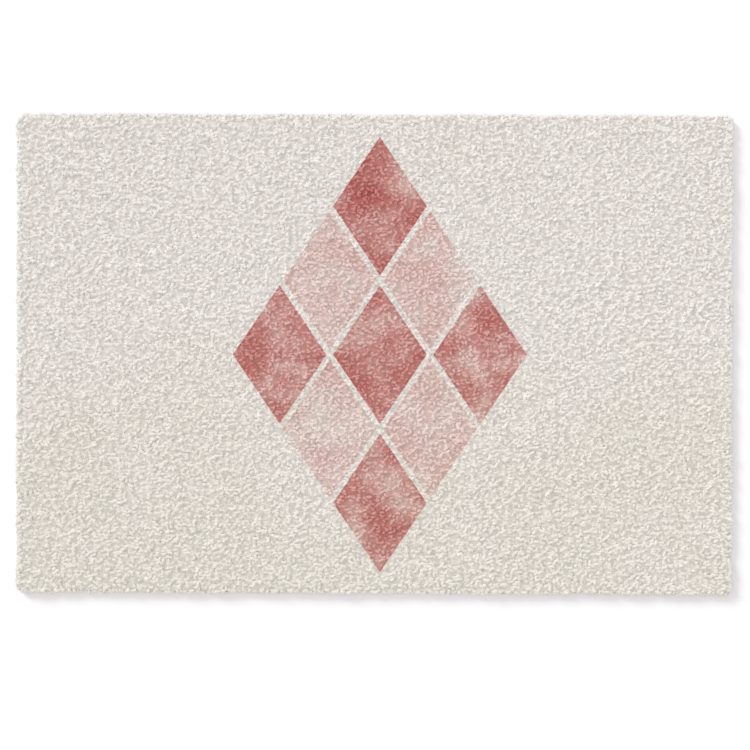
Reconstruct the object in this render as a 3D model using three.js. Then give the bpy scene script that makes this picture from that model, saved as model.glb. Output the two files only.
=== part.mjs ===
// Doormat: one piece of matting, a curly loop pile of vinyl filament fused to a thin vinyl foot.
// Millimetres, +Z up. The origin is on the floor under the middle of the mat; the long side runs
// along X, and +Y is the far edge.

import * as THREE from 'three';

// Driving dimensions
const matWidth = 762; // 30 inches, at mid depth
const matDepth = 510; // 20 inches, cut a little over
const matThickness = 10; // floor to the crown of the pile, 3/8 inch and a little

// How the hand-cut outline departs from a true rectangle
const farEdgeFall = 2.4; // the far edge drops by this from the left end to the right
const nearEdgeFall = 3.2; // and the near edge by this
const leftEdgeLean = 1.2; // the left edge moves out by this from the far end to the near
const rightEdgeLean = 1.2; // and the right edge moves in by this
const cornerRadius = { farLeft: 7, farRight: 4, nearRight: 3.5, nearLeft: 4.5 };
const trimWaves = [
  { length: 173, height: 0.35, phase: 0.6 },
  { length: 61, height: 0.3, phase: 2.1 },
];
const waveStart = { left: 300, right: 0, far: 90, near: 410 }; // so that no two sides match
const wanderFade = 8; // power by which the wander dies away inwards from the rim

// How the top of the pile rolls off at the rim, and how unevenly it stands
const rimRoll = 3.6; // reach of the rolled edge, inwards and down
const crownWaves = [
  { length: 118, height: 0.22, heading: 0.4, phase: 1.3 },
  { length: 83, height: 0.2, heading: 1.7, phase: 0.2 },
  { length: 64, height: 0.18, heading: 2.8, phase: 2.6 },
];

// Mesh spacing: fine lines close to the rim, where the surface turns down, and even ones between
const rimLines = [0, 0.45, 1.5, 3.6, 6.5];
const fieldPitch = 14;

const halfWidth = matWidth / 2;
const halfDepth = matDepth / 2;
const waveRise = crownWaves.reduce((sum, wave) => sum + wave.height, 0);
const crownHeight = matThickness - waveRise; // mean height of the pile's top

const pileFinish = new THREE.MeshStandardMaterial({ color: 0xe2dcd4, roughness: 0.78, metalness: 0 });

// Distances along one side, from one end to the other, with the rim lines at both ends
function linesAcross(length) {
  const inner = rimLines.at(-1);
  const count = Math.round((length - 2 * inner) / fieldPitch);
  const pitch = (length - 2 * inner) / count;
  const field = Array.from({ length: count - 1 }, (_, i) => inner + (i + 1) * pitch);
  const end = rimLines.map((d) => length - d).reverse();
  return [...rimLines, ...field, ...end].map((d) => d - length / 2);
}

// How far the knife wandered, at a distance along a side
function trimWander(along) {
  return trimWaves.reduce(
    (sum, wave) => sum + wave.height * Math.sin((2 * Math.PI * along) / wave.length + wave.phase),
    0,
  );
}

// Pulls the square corner of a plain rectangle in to a round one, for a point inside its radius
function roundCorner(x, y) {
  const side = (y > 0 ? 'far' : 'near') + (x > 0 ? 'Right' : 'Left');
  const radius = cornerRadius[side];
  const across = (Math.abs(x) - (halfWidth - radius)) / radius;
  const along = (Math.abs(y) - (halfDepth - radius)) / radius;
  if (across <= 0 || along <= 0) return [x, y];
  const roundX = across * Math.sqrt(1 - (along * along) / 2);
  const roundY = along * Math.sqrt(1 - (across * across) / 2);
  return [
    Math.sign(x) * (halfWidth - radius + radius * roundX),
    Math.sign(y) * (halfDepth - radius + radius * roundY),
  ];
}

// Carries a point of the plain rectangle to its place in the uneven, hand-cut outline
function trimmed(x, y) {
  const [roundX, roundY] = roundCorner(x, y);
  const u = roundX / halfWidth;
  const v = roundY / halfDepth;
  const fall = (v > 0 ? farEdgeFall : nearEdgeFall) * Math.abs(v);
  const lean = u > 0 ? -rightEdgeLean * u : leftEdgeLean * u;
  const startX = u > 0 ? waveStart.right : waveStart.left;
  const startY = v > 0 ? waveStart.far : waveStart.near;
  const wanderX = trimWander(roundY + startX) * u ** wanderFade * Math.sign(u);
  const wanderY = trimWander(roundX + startY) * v ** wanderFade * Math.sign(v);
  return [roundX - (lean * v) / 2 + wanderX, roundY - (fall * u) / 2 + wanderY];
}

// Height of the pile over a point of the plain rectangle
function pileHeight(x, y) {
  const inset = Math.min(halfWidth - Math.abs(x), halfDepth - Math.abs(y));
  const reach = Math.max(0, 1 - inset / rimRoll);
  const roll = rimRoll * (1 - Math.sqrt(1 - reach * reach));
  const swell = crownWaves.reduce((sum, wave) => {
    const along = x * Math.cos(wave.heading) + y * Math.sin(wave.heading);
    return sum + wave.height * Math.sin((2 * Math.PI * along) / wave.length + wave.phase);
  }, 0);
  return crownHeight + swell - roll;
}

const columns = linesAcross(matWidth);
const rows = linesAcross(matDepth);

// The rim's grid points in order, anticlockwise seen from above, as [column, row]
const rim = [
  ...columns.slice(0, -1).map((_, i) => [i, 0]),
  ...rows.slice(0, -1).map((_, j) => [columns.length - 1, j]),
  ...columns.slice(1).map((_, i) => [columns.length - 1 - i, rows.length - 1]),
  ...rows.slice(1).map((_, j) => [0, rows.length - 1 - j]),
];
const outline = rim.map(([i, j]) => new THREE.Vector2(...trimmed(columns[i], rows[j])));

// Middle of the outline's box, which goes over the origin
const outlineBox = new THREE.Box2().setFromPoints(outline);
const outlineMiddle = outlineBox.getCenter(new THREE.Vector2());
outline.forEach((point) => point.sub(outlineMiddle));

// The mat: its uneven top, its cut wall and its flat underside, as one closed skin
function matGeometry() {
  const points = [];
  for (const y of rows) {
    for (const x of columns) {
      const [placedX, placedY] = trimmed(x, y);
      points.push(placedX - outlineMiddle.x, placedY - outlineMiddle.y, pileHeight(x, y));
    }
  }
  const firstFoot = points.length / 3;
  for (const point of outline) points.push(point.x, point.y, 0);

  const faces = [];
  const top = (i, j) => j * columns.length + i;
  for (let j = 0; j < rows.length - 1; j += 1) {
    for (let i = 0; i < columns.length - 1; i += 1) {
      faces.push(top(i, j), top(i + 1, j), top(i + 1, j + 1));
      faces.push(top(i, j), top(i + 1, j + 1), top(i, j + 1));
    }
  }
  for (let k = 0; k < rim.length; k += 1) {
    const next = (k + 1) % rim.length;
    const upper = top(...rim[k]);
    const upperNext = top(...rim[next]);
    faces.push(firstFoot + k, firstFoot + next, upperNext);
    faces.push(firstFoot + k, upperNext, upper);
  }
  for (const [a, b, c] of THREE.ShapeUtils.triangulateShape(outline, [])) {
    faces.push(firstFoot + a, firstFoot + c, firstFoot + b);
  }

  const geometry = new THREE.BufferGeometry();
  geometry.setAttribute('position', new THREE.Float32BufferAttribute(points, 3));
  geometry.setIndex(faces);
  geometry.computeVertexNormals();
  return geometry;
}

const doormat = new THREE.Group();
doormat.name = 'doormat';

const mat = new THREE.Mesh(matGeometry(), pileFinish);
mat.name = 'mat';
doormat.add(mat);

export default doormat;
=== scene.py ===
import math

import bpy
import numpy as np
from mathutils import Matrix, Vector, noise


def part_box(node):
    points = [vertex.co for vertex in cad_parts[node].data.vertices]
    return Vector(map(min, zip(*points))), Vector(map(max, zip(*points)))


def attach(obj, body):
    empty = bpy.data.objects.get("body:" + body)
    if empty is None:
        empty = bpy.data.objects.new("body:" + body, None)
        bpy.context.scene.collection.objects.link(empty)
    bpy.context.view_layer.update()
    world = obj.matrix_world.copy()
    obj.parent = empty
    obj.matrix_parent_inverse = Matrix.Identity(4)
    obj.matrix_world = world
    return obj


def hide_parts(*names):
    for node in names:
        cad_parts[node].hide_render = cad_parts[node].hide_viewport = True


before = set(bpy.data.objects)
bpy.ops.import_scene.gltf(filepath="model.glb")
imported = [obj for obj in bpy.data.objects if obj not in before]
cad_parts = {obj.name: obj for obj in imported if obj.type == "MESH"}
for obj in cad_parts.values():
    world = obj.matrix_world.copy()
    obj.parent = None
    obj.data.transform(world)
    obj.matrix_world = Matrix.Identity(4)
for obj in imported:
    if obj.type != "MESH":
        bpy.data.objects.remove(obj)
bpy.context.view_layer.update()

# Doormat seen from straight above: curly loop-pile vinyl matting with a washed rose print.
# Metres, +Z up, the long side along X and the far edge at +Y.

matLow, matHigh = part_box("mat")
mm = 0.001


# Camera, straight down and far off, so that the mat shows flat

shot = {
    "lens": 85,                      # mm
    "sensor": 36,                    # mm across the square picture
    "framePixels": 750,
    "matPixels": 715.5,              # across the mat in the photograph
    "matMiddle": (374.5, 354.4),     # middle of the mat there, from the top left
}


def placeCamera():
    pixel = (matHigh[0] - matLow[0]) / shot["matPixels"]
    middle = shot["framePixels"] / 2
    data = bpy.data.cameras.new("camera")
    data.lens = shot["lens"]
    data.sensor_width = shot["sensor"]
    camera = bpy.data.objects.new("camera", data)
    bpy.context.scene.collection.objects.link(camera)
    across = pixel * shot["framePixels"]
    camera.location = (
        (middle - shot["matMiddle"][0]) * pixel,
        (shot["matMiddle"][1] - middle) * pixel,
        matHigh[2] + across * shot["lens"] / shot["sensor"],
    )
    bpy.context.scene.camera = camera


placeCamera()
print("camera placed")


# Small helpers for node trees and meshes

def addNode(tree, kind, **settings):
    node = tree.nodes.new(kind)
    for name, value in settings.items():
        setattr(node, name, value)
    return node


def feed(tree, node, **values):
    # sets or links the inputs of a node by name, with spaces left out
    for socket in node.inputs:
        key = socket.name.replace(" ", "")
        if key in values and socket.enabled:
            value = values.pop(key)
            if isinstance(value, bpy.types.NodeSocket):
                tree.links.new(value, socket)
            else:
                socket.default_value = value
    assert not values, (node.bl_idname, list(values))
    return node


def mathNode(tree, operation, first, second=0.0, third=0.0, clamp=False):
    node = addNode(tree, "ShaderNodeMath", operation=operation, use_clamp=clamp)
    for socket, value in zip(node.inputs, (first, second, third)):
        if isinstance(value, bpy.types.NodeSocket):
            tree.links.new(value, socket)
        else:
            socket.default_value = value
    return node.outputs[0]


def meshObject(name, points, faces, material):
    mesh = bpy.data.meshes.new(name)
    mesh.from_pydata(points, [], faces)
    mesh.materials.append(material)
    mesh.validate()
    mesh.shade_smooth()
    piece = bpy.data.objects.new(name, mesh)
    bpy.context.scene.collection.objects.link(piece)
    return piece


# Vinyl of the pile: cream, with the print washed over its top and painted shade deep in the pile

printLook = {
    "cream": (0.836, 0.800, 0.768),
    "fade": (0.29, 1.0, 1.04),       # how fast a wash takes away the red, green and blue of the cream
    "fadeStops": (0.0, 0.12, 0.3, 0.55, 0.85, 1.25, 1.75),  # densities that its ramp is made from
    "washDeep": 0.77,                # density of a deep wash and of a pale one
    "washPale": 0.21,
    "halfWidth": 50 * mm,            # of a lozenge
    "halfHeight": 74 * mm,
    "gap": 6 * mm,                   # of bare pile between two neighbours
    "middle": (6 * mm, 0.0),         # the print sits a little off the mat's middle
    "reach": 2,                      # lozenges from the middle one out to each point
    "rimReach": 5 * mm,              # where the wet edge pooled
    "rimGain": 0.16,
    "edgeBlur": 0.5 * mm,
    "edgeAway": 0.88,                # of a lozenge from its middle, roughly, as a share of halfWidth
    "wander": 0.3 * mm,              # how far the edges stray over the curls
    "wanderScale": 180,
    "mottling": (                    # scale, detail, roughness, gain and offset of each noise
        (17, 3.0, 0.55, 3.4, (3.1, 0.7, 0.0)),
        (46, 2.0, 0.6, 0.9, (0.4, 5.2, 0.0)),
        (160, 2.0, 0.6, 0.5, (0.0, 0.0, 0.0)),
    ),
    "mottleShift": -1.4,             # added to them all
    "mottleLeast": 0.42,             # share of the wash that is left where it is thinnest
    "soak": 0.5,                     # how much denser the wash is in the depth of the pile: partly red that ran down, partly painted shade
    "soakMiddle": 0.75,              # height share at which it is neither denser nor thinner
}


vinyl = {
    "roughness": 0.62,
    "specular": 0.2,
    "webShade": (0.83, 0.816, 0.792),  # of the web, where less light gets in
    "grain": 0.1 * mm,               # fine bumps along the curls
    "grainStrength": 0.25,
    "grainScale": 900,
    "uneven": 0.34,                  # how differently the curls took the colour
    "unevenScale": 150,
    "aged": (0.968, 0.97, 0.937),    # tint where it has yellowed
    "agedScale": 7,
    "agedOffset": (1.7, 8.3, 0.0),
    "agedRise": 1.0,                 # less of it away from the near edge, as a share to a metre
    "agedFrom": 0.3,                 # value of the noise at which it is full, and where it ends
    "agedTo": 0.6,
    "depthLow": 6.2 * mm,            # painted shade: from this height up to the next the colour brightens to its own
    "depthHigh": 9.2 * mm,
    "depthShade": 0.92,              # share of the colour left at the lower one, as painted shade deep in the pile
}


# Filament that shows deep between the loops, as ridges in the web's finish
tangle = {
    "scale": 260,
    "width": 0.13,
    "stretch": (0.8, 1.0, 0.8),
    "layers": ((1.0, 0.31, 1.0), (1.15, 2.17, 0.75)),  # scale, offset and height of each, as shares
    "relief": 0.5 * mm,
    "hollowShade": 0.88,             # colour in its hollows, as a share of that on it
}


def lozengeGroup():
    # density of one lozenge-shaped wash, with its pooled edge
    tree = bpy.data.node_groups.new("lozengeWash", "ShaderNodeTree")
    for name in ("across", "along", "middleX", "middleY", "halfWidth", "halfHeight", "strength"):
        tree.interface.new_socket(name, in_out="INPUT", socket_type="NodeSocketFloat")
    tree.interface.new_socket("wash", in_out="OUTPUT", socket_type="NodeSocketFloat")
    enter = addNode(tree, "NodeGroupInput")
    leave = addNode(tree, "NodeGroupOutput")
    given = {socket.name: socket for socket in enter.outputs if socket.name}
    offX = mathNode(tree, "ABSOLUTE", mathNode(tree, "SUBTRACT", given["across"], given["middleX"]))
    offY = mathNode(tree, "ABSOLUTE", mathNode(tree, "SUBTRACT", given["along"], given["middleY"]))
    shareX = mathNode(tree, "DIVIDE", offX, given["halfWidth"])
    shareY = mathNode(tree, "DIVIDE", offY, given["halfHeight"])
    share = mathNode(tree, "SUBTRACT", 1.0, mathNode(tree, "ADD", shareX, shareY))
    edgeAway = mathNode(tree, "MULTIPLY", given["halfWidth"], printLook["edgeAway"])
    inset = mathNode(tree, "MULTIPLY", share, edgeAway)
    inside = mathNode(tree, "MULTIPLY_ADD", inset, 1 / printLook["edgeBlur"], 0.5, clamp=True)
    nearRim = mathNode(tree, "DIVIDE", inset, printLook["rimReach"])
    pooled = mathNode(tree, "POWER", mathNode(tree, "SUBTRACT", 1.0, nearRim, clamp=True), 2.0)
    gain = mathNode(tree, "MULTIPLY_ADD", pooled, printLook["rimGain"], 1.0)
    wash = mathNode(tree, "MULTIPLY", mathNode(tree, "MULTIPLY", inside, gain), given["strength"])
    tree.links.new(wash, leave.inputs["wash"])
    return tree


def noiseOf(tree, coords, scale, detail=2.0, roughness=0.5, offset=(0, 0, 0), stretch=(1, 1, 1)):
    mapping = addNode(tree, "ShaderNodeMapping")
    mapping.inputs["Location"].default_value = offset
    mapping.inputs["Scale"].default_value = stretch
    tree.links.new(coords, mapping.inputs["Vector"])
    field = addNode(tree, "ShaderNodeTexNoise")
    feed(tree, field, Vector=mapping.outputs[0], Scale=scale, Detail=detail, Roughness=roughness)
    return field.outputs["Fac"]


def washRamp(tree, density):
    # the colour left when a wash of a given density lies over the cream
    ramp = addNode(tree, "ShaderNodeValToRGB")
    stops = printLook["fadeStops"]
    elements = ramp.color_ramp.elements
    while len(elements) < len(stops):
        elements.new(0.5)
    for element, stop in zip(elements, stops):
        element.position = stop / stops[-1]
        left = np.exp(-np.array(printLook["fade"]) * stop)
        element.color = (*(np.array(printLook["cream"]) * left), 1)
    tree.links.new(mathNode(tree, "DIVIDE", density, stops[-1], clamp=True), ramp.inputs["Fac"])
    return ramp.outputs["Color"]


def multiplied(tree, colour, factor):
    mix = addNode(tree, "ShaderNodeMix", data_type="RGBA", blend_type="MULTIPLY")
    mix.inputs["Factor"].default_value = 1.0
    tree.links.new(colour, mix.inputs["A"])
    tree.links.new(factor, mix.inputs["B"])
    return mix.outputs["Result"]


def washLozenges(tree, place):
    # a harlequin of lozenges, set in staggered rows within one large lozenge
    wander = addNode(tree, "ShaderNodeTexNoise")
    feed(tree, wander, Vector=place, Scale=printLook["wanderScale"], Detail=1.0)
    shift = addNode(tree, "ShaderNodeVectorMath", operation="MULTIPLY_ADD")
    tree.links.new(wander.outputs["Color"], shift.inputs[0])
    shift.inputs[1].default_value = (printLook["wander"],) * 3
    tree.links.new(place, shift.inputs[2])
    strayed = addNode(tree, "ShaderNodeSeparateXYZ")
    tree.links.new(shift.outputs[0], strayed.inputs[0])

    group = bpy.data.node_groups.get("lozengeWash") or lozengeGroup()
    width, height, reach = printLook["halfWidth"], printLook["halfHeight"], printLook["reach"]
    spread = 1 + printLook["gap"] * math.hypot(1 / width, 1 / height) / 2
    total = 0.0
    for i in range(-reach, reach + 1):
        for j in range(-reach, reach + 1):
            if (i + j) % 2 or abs(i) + abs(j) > reach:
                continue
            lozenge = addNode(tree, "ShaderNodeGroup", node_tree=group)
            feed(tree, lozenge, across=strayed.outputs["X"], along=strayed.outputs["Y"],
                 middleX=printLook["middle"][0] + i * width * spread,
                 middleY=printLook["middle"][1] + j * height * spread,
                 halfWidth=width, halfHeight=height,
                 strength=printLook["washPale"] if i % 2 else printLook["washDeep"])
            total = mathNode(tree, "ADD", total, lozenge.outputs["wash"])
    return total


def printDensity(tree, place, risen):
    mottle = printLook["mottleShift"]
    for scale, detail, roughness, gain, offset in printLook["mottling"]:
        field = noiseOf(tree, place, scale, detail, roughness, offset)
        mottle = mathNode(tree, "MULTIPLY_ADD", field, gain, mottle)
    mottle = mathNode(tree, "MAXIMUM", mottle, printLook["mottleLeast"])
    # denser and darker low between the curls: partly colour that ran down there, partly painted shade
    inkPooledAndShaded = mathNode(tree, "MULTIPLY_ADD", risen, -printLook["soak"],
                      1 + printLook["soakMiddle"] * printLook["soak"])
    washed = mathNode(tree, "MULTIPLY", washLozenges(tree, place), mottle)
    return mathNode(tree, "MULTIPLY", washed, inkPooledAndShaded)


def agedTint(tree, place, along, shade):
    # vinyl that has yellowed in broad drifts, most of it towards the near edge
    drift = noiseOf(tree, place, vinyl["agedScale"], 2.0, 0.5, vinyl["agedOffset"])
    drift = mathNode(tree, "MULTIPLY_ADD", along, vinyl["agedRise"], drift)
    ramp = addNode(tree, "ShaderNodeValToRGB")
    aged, fresh = ramp.color_ramp.elements
    aged.position = vinyl["agedFrom"]
    aged.color = (*(np.array(vinyl["aged"]) * shade), 1)
    fresh.position = vinyl["agedTo"]
    fresh.color = (*shade, 1)
    tree.links.new(drift, ramp.inputs["Fac"])
    return ramp.outputs["Color"]


def filamentRelief(tree, place, scale, offset):
    # winding ridges, as of filament that lies in the tangle
    offset = (offset, offset * 0.7, offset * 0.3)
    field = noiseOf(tree, place, scale, 0.0, 0.5, offset, tangle["stretch"])
    off = mathNode(tree, "ABSOLUTE", mathNode(tree, "SUBTRACT", field, 0.5))
    away = mathNode(tree, "DIVIDE", off, tangle["width"], clamp=True)
    return mathNode(tree, "SQRT", mathNode(tree, "SUBTRACT", 1.0, mathNode(tree, "POWER", away, 2.0)))


def tangleRelief(tree, place):
    # the highest of its layers at each place
    relief = 0.0
    for scale, offset, height in tangle["layers"]:
        layer = filamentRelief(tree, place, tangle["scale"] * scale, offset)
        relief = mathNode(tree, "MAXIMUM", relief, mathNode(tree, "MULTIPLY", layer, height))
    return relief


def pileVinyl(name, tangled, shade=(1.0, 1.0, 1.0)):
    material = bpy.data.materials.new(name)
    material.use_nodes = True
    tree = material.node_tree
    shader = tree.nodes["Principled BSDF"]
    place = addNode(tree, "ShaderNodeTexCoord").outputs["Object"]
    where = addNode(tree, "ShaderNodeSeparateXYZ")
    tree.links.new(place, where.inputs[0])
    # height in the pile, 0 where the painted shade is deepest and 1 where there is none
    height = addNode(tree, "ShaderNodeMapRange", interpolation_type="SMOOTHSTEP")
    feed(tree, height, Value=where.outputs["Z"], FromMin=vinyl["depthLow"], FromMax=vinyl["depthHigh"])
    risen = height.outputs["Result"]

    colour = washRamp(tree, printDensity(tree, place, risen))
    colour = multiplied(tree, colour, agedTint(tree, place, where.outputs["Y"], shade))
    curl = noiseOf(tree, place, vinyl["unevenScale"], 1.0)
    value = mathNode(tree, "MULTIPLY_ADD", curl, vinyl["uneven"], 1 - vinyl["uneven"] / 2)
    # painted shade: the colour darkens towards the foot of the pile
    clear = mathNode(tree, "MULTIPLY_ADD", risen, 1 - vinyl["depthShade"], vinyl["depthShade"])
    value = mathNode(tree, "MULTIPLY", value, clear)
    bump = addNode(tree, "ShaderNodeBump")
    if tangled:
        relief = tangleRelief(tree, place)
        hollow = tangle["hollowShade"]
        dimmed = mathNode(tree, "MULTIPLY_ADD", relief, 1 - hollow, hollow)
        value = mathNode(tree, "MULTIPLY", value, dimmed)
        feed(tree, bump, Strength=1.0, Distance=tangle["relief"], Height=relief)
    else:
        grain = noiseOf(tree, place, vinyl["grainScale"], 3.0, 0.6)
        feed(tree, bump, Strength=vinyl["grainStrength"], Distance=vinyl["grain"], Height=grain)
    tree.links.new(multiplied(tree, colour, value), shader.inputs["Base Color"])
    tree.links.new(bump.outputs["Normal"], shader.inputs["Normal"])
    shader.inputs["Roughness"].default_value = vinyl["roughness"]
    shader.inputs["Specular IOR Level"].default_value = vinyl["specular"]
    return material


loopVinyl = pileVinyl("loopVinyl", tangled=False)
webVinyl = pileVinyl("webVinyl", tangled=True, shade=vinyl["webShade"])


# Vinyl of the foot: plainer and greyer, with low pits from the belt that it was cast on

footLook = {
    "pale": (0.52, 0.5, 0.46),
    "dark": (0.43, 0.41, 0.375),
    "darkFrom": 0.3,                 # value of the noise at which it is darkest, and palest
    "paleFrom": 0.75,
    "cloudScale": 35,
    "roughness": 0.55,
    "pitScale": 430,
    "pitDepth": 0.3 * mm,
    "pitStrength": 0.5,
}


def footVinyl():
    material = bpy.data.materials.new("footVinyl")
    material.use_nodes = True
    tree = material.node_tree
    shader = tree.nodes["Principled BSDF"]
    place = addNode(tree, "ShaderNodeTexCoord").outputs["Object"]
    ramp = addNode(tree, "ShaderNodeValToRGB")
    dark, pale = ramp.color_ramp.elements
    dark.position = footLook["darkFrom"]
    dark.color = (*footLook["dark"], 1)
    pale.position = footLook["paleFrom"]
    pale.color = (*footLook["pale"], 1)
    tree.links.new(noiseOf(tree, place, footLook["cloudScale"], 4.0, 0.6), ramp.inputs["Fac"])
    tree.links.new(ramp.outputs["Color"], shader.inputs["Base Color"])
    shader.inputs["Roughness"].default_value = footLook["roughness"]
    pits = addNode(tree, "ShaderNodeTexVoronoi", feature="F1")
    feed(tree, pits, Vector=place, Scale=footLook["pitScale"])
    bump = addNode(tree, "ShaderNodeBump")
    feed(tree, bump, Strength=footLook["pitStrength"], Distance=footLook["pitDepth"],
         Height=pits.outputs["Distance"])
    tree.links.new(bump.outputs["Normal"], shader.inputs["Normal"])
    return material


footMaterial = footVinyl()
print("materials made")


# The mat's outline, read from its solid

ringHeight = 0.1 * mm                # the solid's points below this make its outline


def outlineRing():
    # the points round the solid's foot, anticlockwise
    spots = np.array([tuple(v.co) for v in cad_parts["mat"].data.vertices])
    lowest = spots[spots[:, 2] < ringHeight][:, :2]
    ring = np.unique(np.round(lowest, 6), axis=0)
    return ring[np.argsort(np.arctan2(ring[:, 1], ring[:, 0]))]


def sideBetween(ring, start, end):
    # the ring's points from one corner to the next, with the distance along them from 0 to 1
    first = int(np.argmax(ring @ np.array(start)))
    last = int(np.argmax(ring @ np.array(end)))
    turned = np.roll(ring, -first, axis=0)
    side = turned[: (last - first) % len(ring) + 1]
    steps = np.linalg.norm(np.diff(side, axis=0), axis=1)
    along = np.concatenate(([0], np.cumsum(steps)))
    return along / along[-1], side


def pointsAlong(side, shares):
    along, spots = side
    return np.stack([np.interp(shares, along, spots[:, k]) for k in (0, 1)], axis=1)


ring = outlineRing()
nearSide = sideBetween(ring, (-1, -1), (1, -1))
rightSide = sideBetween(ring, (1, -1), (1, 1))
farSide = sideBetween(ring, (1, 1), (-1, 1))
leftSide = sideBetween(ring, (-1, 1), (-1, -1))


def fillOutline(across, along):
    # carries shares of the width and depth to places inside the outline
    near = pointsAlong(nearSide, across)
    far = pointsAlong(farSide, 1 - across)
    right = pointsAlong(rightSide, along)
    left = pointsAlong(leftSide, 1 - along)
    u, v = across[None, :, None], along[:, None, None]
    spread = (1 - v) * near[None] + v * far[None] + (1 - u) * left[:, None] + u * right[:, None]
    corners = (1 - v) * ((1 - u) * near[0] + u * near[-1]) + v * ((1 - u) * far[0] + u * far[-1])
    return spread - corners


def linesAcross(length, rimLines, pitch):
    inner = rimLines[-1]
    count = round((length - 2 * inner) / pitch)
    field = np.linspace(inner, length - inner, count + 1)
    return np.concatenate((rimLines[:-1], field, length - np.array(rimLines[:-1])[::-1])) / length


# The web: the low, dense tangle of filament that the loops rise from, on its thin foot

web = {
    "crown": 6.4 * mm,               # mean height of its top
    "foot": 1.6 * mm,                # and of its underside
    "inset": 0.8 * mm,               # behind the outline, which the curls at the rim reach
    "roll": 1.4 * mm,                # how far in its edge is rounded
    "rimLines": [0, 0.6 * mm, 1.4 * mm, 2.6 * mm],
    "pitch": 3.4 * mm,
    "wallRows": 2,
    "lump": 0.7 * mm,                # rise of its uneven top, and the lumps to a metre
    "lumpScale": 105,
}
foot = {
    "height": 1.6 * mm,
    "inset": 0.7 * mm,
    "edge": 0.5 * mm,                # rounding of its upper edge
    "rimLines": [0, 0.15 * mm, 0.5 * mm, 3 * mm],
    "pitch": 16 * mm,
}
downward = -0.9                      # a face with a lower normal is part of an underside


def slab(across, along, inset, heightOf, low, wallRows):
    # a closed slab over the outline, drawn in by inset
    width, depth = matHigh[0] - matLow[0], matHigh[1] - matLow[1]
    spots = fillOutline(across, along)
    middle = spots.mean(axis=(0, 1))
    spots = middle + (spots - middle) * (1 - 2 * inset / np.array((width, depth)))
    insetX = np.minimum(across, 1 - across) * width
    insetY = np.minimum(along, 1 - along) * depth
    edge = np.minimum(insetX[None], insetY[:, None])
    height = heightOf(spots, edge)
    points = np.concatenate((spots, height[..., None]), axis=2).reshape(-1, 3).tolist()
    columns, rows = len(across), len(along)
    faces = [
        (j * columns + i, j * columns + i + 1, (j + 1) * columns + i + 1, (j + 1) * columns + i)
        for j in range(rows - 1) for i in range(columns - 1)
    ]
    rim = [i for i in range(columns - 1)]
    rim += [j * columns + columns - 1 for j in range(rows - 1)]
    rim += [(rows - 1) * columns + i for i in range(columns - 1, 0, -1)]
    rim += [j * columns for j in range(rows - 1, 0, -1)]
    upper = rim
    for row in range(1, wallRows + 1):
        share = row / wallRows
        lower = range(len(points), len(points) + len(rim))
        for index in rim:
            x, y, z = points[index]
            points.append((x, y, z + (low - z) * share))
        for k in range(len(rim)):
            n = (k + 1) % len(rim)
            faces.append((upper[k], lower[k], lower[n], upper[n]))
        upper = lower
    faces.append(tuple(reversed(upper)))
    return points, faces


def rolledEdge(edge, reach):
    away = np.clip(1 - edge / reach, 0, 1)
    return reach * (1 - np.sqrt(1 - away ** 2))


def lumpAt(x, y):
    return noise.noise((x * web["lumpScale"], y * web["lumpScale"], 0))


def webHeight(spots, edge):
    lumps = np.array([[lumpAt(x, y) for x, y in row] for row in spots])
    return web["crown"] + web["lump"] * lumps - rolledEdge(edge, web["roll"])


def footHeight(spots, edge):
    return foot["height"] - rolledEdge(edge, foot["edge"])


def gridLines(part):
    return [linesAcross(matHigh[k] - matLow[k], part["rimLines"], part["pitch"]) for k in (0, 1)]


def slabPiece(name, part, heightOf, low, wallRows, material):
    piece = meshObject(name, *slab(*gridLines(part), part["inset"], heightOf, low, wallRows), material)
    for face in piece.data.polygons:
        face.use_smooth = face.normal.z > downward
    return piece


matWeb = slabPiece("mat_web", web, webHeight, web["foot"], web["wallRows"], webVinyl)
matFoot = slabPiece("mat_foot", foot, footHeight, 0.0, 1, footMaterial)
print("web", len(matWeb.data.polygons), "faces, foot", len(matFoot.data.polygons), "faces")


# Loops of filament, spread over the web by Geometry Nodes

loops = {
    "spacing": 2.85 * mm,            # least distance between the roots of two loops
    "wallSpacing": 2.1 * mm,         # the same for those added on the walls
    "density": 700000,               # most roots in a square metre
    "lowestFacing": -0.3,            # a face that looks further down gets no loops
    "wallFacing": 0.4,               # one that looks less far up is a wall
    "stretch": 1.45,                 # the matting is drawn out along its length
    "radius": 2.1 * mm,              # of a curl, which is part of a spiral
    "endRadius": 1.8 * mm,
    "turns": 0.36,
    "climb": 0.6 * mm,               # of the curl from end to end
    "lift": 1.25 * mm,               # of its top over the web
    "sink": 1.8 * mm,                # how far its ends dive
    "diveShape": 2.2,                # power of their bend
    "depthSpread": 0.7 * mm,         # how much lower than the rest some stand
    "points": 5,
    "filament": 2.0 * mm,            # radius of the three-sided thread
    "flatness": 0.65,                # its height, as a share of what an even section has
    "clear": 0.8 * mm,               # least height of a thread over the floor
    "tilt": 0.22,                    # radians, either way
    "sizeLow": 0.75,
    "sizeHigh": 1.2,
    "wobble": 2.2 * mm,              # reach of the bends that the tangle gives them
    "wobbleScale": 230,
    "smooth": False,                 # its faces catch the light one by one
    "seed": 11,
}
strips = 4                           # pieces that the loops are shared out to, along the mat
stripMargin = 6 * mm                 # how far a curl may reach out of its strip
rimMargin = 10 * mm                  # how far the outer strips go on past the mat's ends


def joinedXYZ(tree, x=0.0, y=0.0, z=0.0):
    node = addNode(tree, "ShaderNodeCombineXYZ")
    feed(tree, node, X=x, Y=y, Z=z)
    return node.outputs[0]


def scaled(tree, geometry, scale):
    node = addNode(tree, "GeometryNodeTransform")
    feed(tree, node, Geometry=geometry, Scale=scale)
    return node.outputs[0]


def moved(tree, geometry, offset):
    node = addNode(tree, "GeometryNodeSetPosition")
    feed(tree, node, Geometry=geometry, Offset=offset)
    return node.outputs[0]


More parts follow.
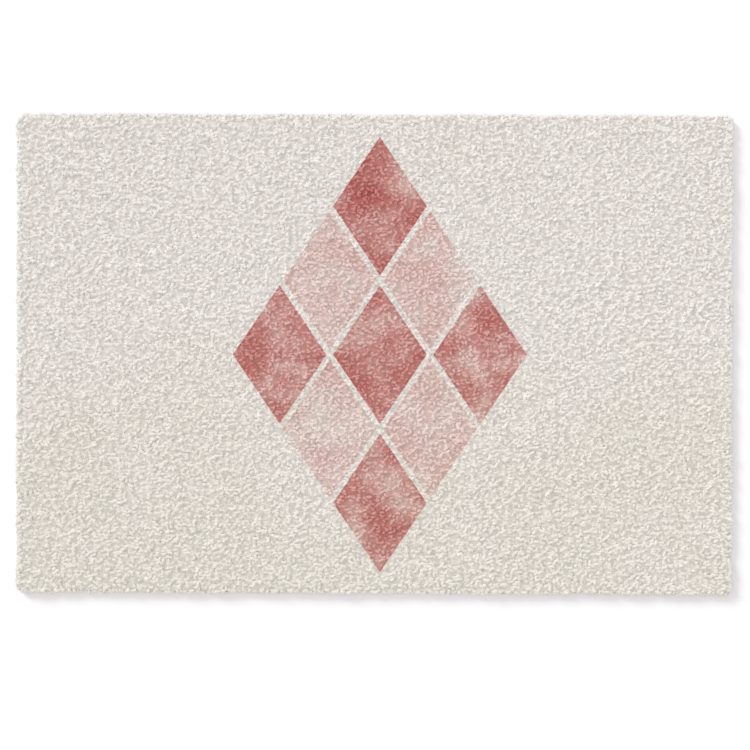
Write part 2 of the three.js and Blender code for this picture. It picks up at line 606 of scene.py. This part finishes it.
def randomValue(tree, given, low, high, seedStep):
    node = addNode(tree, "FunctionNodeRandomValue", data_type="FLOAT")
    feed(tree, node, Min=low, Max=high, Seed=mathNode(tree, "ADD", given["seed"], seedStep))
    return node.outputs["Value"]


def oneCurl(tree, given):
    # part of a turn, its ends bent down
    spiral = addNode(tree, "GeometryNodeCurveSpiral")
    feed(tree, spiral, Resolution=24, Rotations=given["turns"], StartRadius=given["radius"],
         EndRadius=given["endRadius"], Height=given["climb"])
    even = addNode(tree, "GeometryNodeResampleCurve")
    feed(tree, even, Curve=spiral.outputs[0], Count=given["points"])
    share = addNode(tree, "GeometryNodeSplineParameter").outputs["Factor"]
    fromMiddle = mathNode(tree, "ABSOLUTE", mathNode(tree, "MULTIPLY_ADD", share, 2.0, -1.0))
    bent = mathNode(tree, "POWER", fromMiddle, given["diveShape"])
    dive = mathNode(tree, "MULTIPLY", bent, given["sink"])
    return moved(tree, even.outputs[0], joinedXYZ(tree, z=mathNode(tree, "SUBTRACT", given["lift"], dive)))


def plantedCurls(tree, given, curl):
    # curls over the top and the walls, each set square to them, spun, tilted and sized at random
    normal = addNode(tree, "ShaderNodeSeparateXYZ")
    tree.links.new(addNode(tree, "GeometryNodeInputNormal").outputs["Normal"], normal.inputs[0])
    facing = mathNode(tree, "GREATER_THAN", normal.outputs["Z"], given["lowestFacing"])
    steep = mathNode(tree, "LESS_THAN", normal.outputs["Z"], given["wallFacing"])
    onWall = mathNode(tree, "MULTIPLY", facing, steep)

    # they are spread over a shortened mat, which is drawn out to its length again later
    squeeze = joinedXYZ(tree, mathNode(tree, "DIVIDE", 1.0, given["stretch"]), 1.0, 1.0)
    squeezed = scaled(tree, given["Geometry"], squeeze)
    where = addNode(tree, "ShaderNodeSeparateXYZ")
    tree.links.new(addNode(tree, "GeometryNodeInputPosition").outputs[0], where.inputs[0])
    drawnX = mathNode(tree, "MULTIPLY", where.outputs["X"], given["stretch"])
    above = mathNode(tree, "GREATER_THAN", drawnX, given["stripLow"])
    inStrip = mathNode(tree, "MULTIPLY", above, mathNode(tree, "LESS_THAN", drawnX, given["stripHigh"]))

    back = mathNode(tree, "MULTIPLY", given["tilt"], -1.0)
    lean = joinedXYZ(tree, randomValue(tree, given, back, given["tilt"], 1),
                     randomValue(tree, given, back, given["tilt"], 2),
                     randomValue(tree, given, 0.0, 2 * math.pi, 3))
    turn = addNode(tree, "FunctionNodeEulerToRotation")
    tree.links.new(lean, turn.inputs[0])
    size = randomValue(tree, given, given["sizeLow"], given["sizeHigh"], 4)
    planted = addNode(tree, "GeometryNodeJoinGeometry")
    for chosen, spacing, seedStep in ((facing, given["spacing"], 0), (onWall, given["wallSpacing"], 6)):
        roots = addNode(tree, "GeometryNodeDistributePointsOnFaces", distribute_method="POISSON")
        feed(tree, roots, Mesh=squeezed, Selection=chosen, DistanceMin=spacing,
             DensityMax=given["density"], Seed=mathNode(tree, "ADD", given["seed"], seedStep))
        kept = addNode(tree, "GeometryNodeSeparateGeometry", domain="POINT")
        feed(tree, kept, Geometry=roots.outputs["Points"], Selection=inStrip)
        stand = addNode(tree, "FunctionNodeRotateRotation", rotation_space="LOCAL")
        feed(tree, stand, Rotation=roots.outputs["Rotation"], RotateBy=turn.outputs[0])
        curls = addNode(tree, "GeometryNodeInstanceOnPoints")
        feed(tree, curls, Points=kept.outputs["Selection"], Instance=curl,
             Rotation=stand.outputs[0], Scale=size)
        tree.links.new(curls.outputs[0], planted.inputs[0])

    deepest = mathNode(tree, "MULTIPLY", given["depthSpread"], -1.0)
    lowered = addNode(tree, "GeometryNodeTranslateInstances")
    feed(tree, lowered, Instances=planted.outputs[0], LocalSpace=True,
         Translation=joinedXYZ(tree, z=randomValue(tree, given, deepest, 0.0, 5)))
    loose = addNode(tree, "GeometryNodeRealizeInstances")
    tree.links.new(lowered.outputs[0], loose.inputs[0])
    return scaled(tree, loose.outputs[0], joinedXYZ(tree, given["stretch"], 1.0, 1.0))


def tangledCurls(tree, given, curls):
    # the tangle bends every curl its own way, and none goes under the floor
    bend = addNode(tree, "ShaderNodeTexNoise")
    feed(tree, bend, Scale=given["wobbleScale"], Detail=1.0)
    centred = addNode(tree, "ShaderNodeVectorMath", operation="SUBTRACT")
    tree.links.new(bend.outputs["Color"], centred.inputs[0])
    centred.inputs[1].default_value = (0.5, 0.5, 0.5)
    push = addNode(tree, "ShaderNodeVectorMath", operation="SCALE")
    tree.links.new(centred.outputs[0], push.inputs[0])
    tree.links.new(given["wobble"], push.inputs["Scale"])
    bent = moved(tree, curls, push.outputs[0])
    height = addNode(tree, "ShaderNodeSeparateXYZ")
    tree.links.new(addNode(tree, "GeometryNodeInputPosition").outputs[0], height.inputs[0])
    short = mathNode(tree, "SUBTRACT", given["clear"], height.outputs["Z"])
    return moved(tree, bent, joinedXYZ(tree, z=mathNode(tree, "MAXIMUM", short, 0.0)))


def threadAlong(tree, given, curls):
    # a flattened three-sided thread, with its flat side up
    upright = addNode(tree, "GeometryNodeSetCurveNormal", mode="Z_UP")
    tree.links.new(curls, upright.inputs["Curve"])
    section = addNode(tree, "GeometryNodeCurvePrimitiveCircle")
    feed(tree, section, Resolution=3, Radius=given["filament"])
    turned = addNode(tree, "GeometryNodeTransform")
    feed(tree, turned, Geometry=section.outputs[0], Rotation=(0.0, 0.0, math.radians(-90)))
    flattened = scaled(tree, turned.outputs[0], joinedXYZ(tree, 1.0, given["flatness"], 1.0))
    thread = addNode(tree, "GeometryNodeCurveToMesh")
    feed(tree, thread, Curve=upright.outputs[0], ProfileCurve=flattened, FillCaps=True)
    shaded = addNode(tree, "GeometryNodeSetShadeSmooth")
    feed(tree, shaded, Geometry=thread.outputs[0], ShadeSmooth=given["smooth"])
    return shaded.outputs[0]


def loopTree():
    tree = bpy.data.node_groups.new("loopPile", "GeometryNodeTree")
    tree.interface.new_socket("Geometry", in_out="INPUT", socket_type="NodeSocketGeometry")
    kinds = {"seed": "NodeSocketInt", "points": "NodeSocketInt", "material": "NodeSocketMaterial",
             "smooth": "NodeSocketBool"}
    for name in (*loops, "stripLow", "stripHigh", "material"):
        kind = kinds.get(name, "NodeSocketFloat")
        tree.interface.new_socket(name, in_out="INPUT", socket_type=kind)
    tree.interface.new_socket("Geometry", in_out="OUTPUT", socket_type="NodeSocketGeometry")
    enter = addNode(tree, "NodeGroupInput")
    leave = addNode(tree, "NodeGroupOutput")
    given = {socket.name: socket for socket in enter.outputs if socket.name}

    curls = plantedCurls(tree, given, oneCurl(tree, given))
    threads = threadAlong(tree, given, tangledCurls(tree, given, curls))
    real = addNode(tree, "GeometryNodeRealizeInstances")
    tree.links.new(threads, real.inputs[0])
    dyed = addNode(tree, "GeometryNodeSetMaterial")
    feed(tree, dyed, Geometry=real.outputs[0], Material=given["material"])
    tree.links.new(dyed.outputs[0], leave.inputs[0])
    return tree


def evaluatedMesh(piece, name):
    graph = bpy.context.evaluated_depsgraph_get()
    mesh = bpy.data.meshes.new_from_object(piece.evaluated_get(graph), depsgraph=graph)
    mesh.name = name
    return mesh


def topDownMap(mesh, low, high):
    # a map looked at from above, since the print depends on nothing else
    spots = np.empty(len(mesh.vertices) * 3)
    mesh.vertices.foreach_get("co", spots)
    spots = spots.reshape(-1, 3)
    corners = np.empty(len(mesh.loops), dtype=np.int32)
    mesh.loops.foreach_get("vertex_index", corners)
    span = np.array(high) - np.array(low)
    places = np.clip((spots[corners][:, :2] - np.array(low)) / span, 0, 1)
    layer = mesh.uv_layers.new(name="OFBake")
    layer.data.foreach_set("uv", places.astype(np.float32).ravel())


def loopStrip(tree, name, low, high):
    # the curls of one strip of the mat, as a plain mesh
    carrier = bpy.data.objects.new("carrier", matWeb.data)
    bpy.context.scene.collection.objects.link(carrier)
    modifier = carrier.modifiers.new("loopPile", "NODES")
    modifier.node_group = tree
    values = {**loops, "stripLow": low, "stripHigh": high, "material": loopVinyl}
    for item in tree.interface.items_tree:
        if item.in_out == "INPUT" and item.name in values:
            modifier[item.identifier] = values[item.name]
    mesh = evaluatedMesh(carrier, name)
    bpy.data.objects.remove(carrier)
    piece = bpy.data.objects.new(name, mesh)
    bpy.context.scene.collection.objects.link(piece)
    topDownMap(mesh, (low - stripMargin, matLow[1] - stripMargin),
               (high + stripMargin, matHigh[1] + stripMargin))
    print(name, len(mesh.polygons), "faces")
    return piece


def makeLoops():
    tree = loopTree()
    edges = np.linspace(matLow[0], matHigh[0], strips + 1).tolist()
    edges[0] -= rimMargin
    edges[-1] += rimMargin
    return [loopStrip(tree, f"mat_loops_{k + 1}", edges[k], edges[k + 1]) for k in range(strips)]


loopPieces = makeLoops()
topDownMap(matWeb.data, matLow[:2], matHigh[:2])
triangles = 0
for piece in (matWeb, *loopPieces, matFoot):
    piece.data.calc_loop_triangles()
    triangles += len(piece.data.loop_triangles)
    print(piece.name, len(piece.data.loop_triangles), "triangles")
    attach(piece, "root")
    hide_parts("mat")
print("mat", triangles, "triangles")


# Floor and light

studio = {
    "floorSide": 40.0,
    "floorDepth": 0.4 * mm,          # of the floor below the mat's foot
    "floorWhite": 0.3,               # it gets far more light than the mat
    "floorRoughness": 0.9,
    "floorSpecular": 0.1,
    "fill": 0.59,
    "downPower": 1.5,                # broad sun from nearly straight above
    "downTilt": math.radians(4),
    "downSpread": math.radians(80),
    "keyPower": 0.75,                # softer one from the upper left
    "keyTilt": math.radians(62),
    "keyTurn": math.radians(45),
    "keySpread": math.radians(40),
    "floorDownPower": 4.6,           # two more, which light the floor alone
    "floorDownSpread": math.radians(5),
    "floorDownTint": (1, 0.926, 0.939),
    "floorKeyPower": 7.0,
    "floorKeyTilt": math.radians(66),
    "floorKeySpread": math.radians(22),
    "floorKeyTint": (0.88, 1, 0.98),  # a little green, which leaves the drop shadow faintly lilac
}


def addSun(name, power, tilt, spread, onlyOn=None, tint=(1, 1, 1)):
    lamp = bpy.data.lights.new(name, "SUN")
    lamp.color = tint
    lamp.energy = power
    lamp.angle = spread
    holder = bpy.data.objects.new(name, lamp)
    holder.rotation_euler = (0, -tilt, -studio["keyTurn"])
    bpy.context.scene.collection.objects.link(holder)
    if onlyOn is not None:
        holder.light_linking.receiver_collection = onlyOn


def makeStudio():
    half = studio["floorSide"] / 2
    white = bpy.data.materials.new("floorPaint")
    white.use_nodes = True
    paint = white.node_tree.nodes["Principled BSDF"]
    paint.inputs["Base Color"].default_value = (studio["floorWhite"],) * 3 + (1,)
    paint.inputs["Roughness"].default_value = studio["floorRoughness"]
    paint.inputs["Specular IOR Level"].default_value = studio["floorSpecular"]
    depth = -studio["floorDepth"]
    corners = [(-half, -half, depth), (half, -half, depth), (half, half, depth), (-half, half, depth)]
    floor = meshObject("floor", corners, [(0, 1, 2, 3)], white)
    backdrop = bpy.data.collections.new("backdrop")
    backdrop.objects.link(floor)
    world = bpy.data.worlds.new("studio")
    world.use_nodes = True
    world.node_tree.nodes["Background"].inputs["Color"].default_value = (1, 1, 1, 1)
    world.node_tree.nodes["Background"].inputs["Strength"].default_value = studio["fill"]
    bpy.context.scene.world = world
    addSun("down", studio["downPower"], studio["downTilt"], studio["downSpread"])
    addSun("key", studio["keyPower"], studio["keyTilt"], studio["keySpread"])
    addSun("floorDown", studio["floorDownPower"], 0, studio["floorDownSpread"], backdrop,
           studio["floorDownTint"])
    addSun("floorKey", studio["floorKeyPower"], studio["floorKeyTilt"], studio["floorKeySpread"],
           backdrop, studio["floorKeyTint"])


makeStudio()
bpy.context.scene.view_settings.view_transform = "Standard"
print("studio lit")
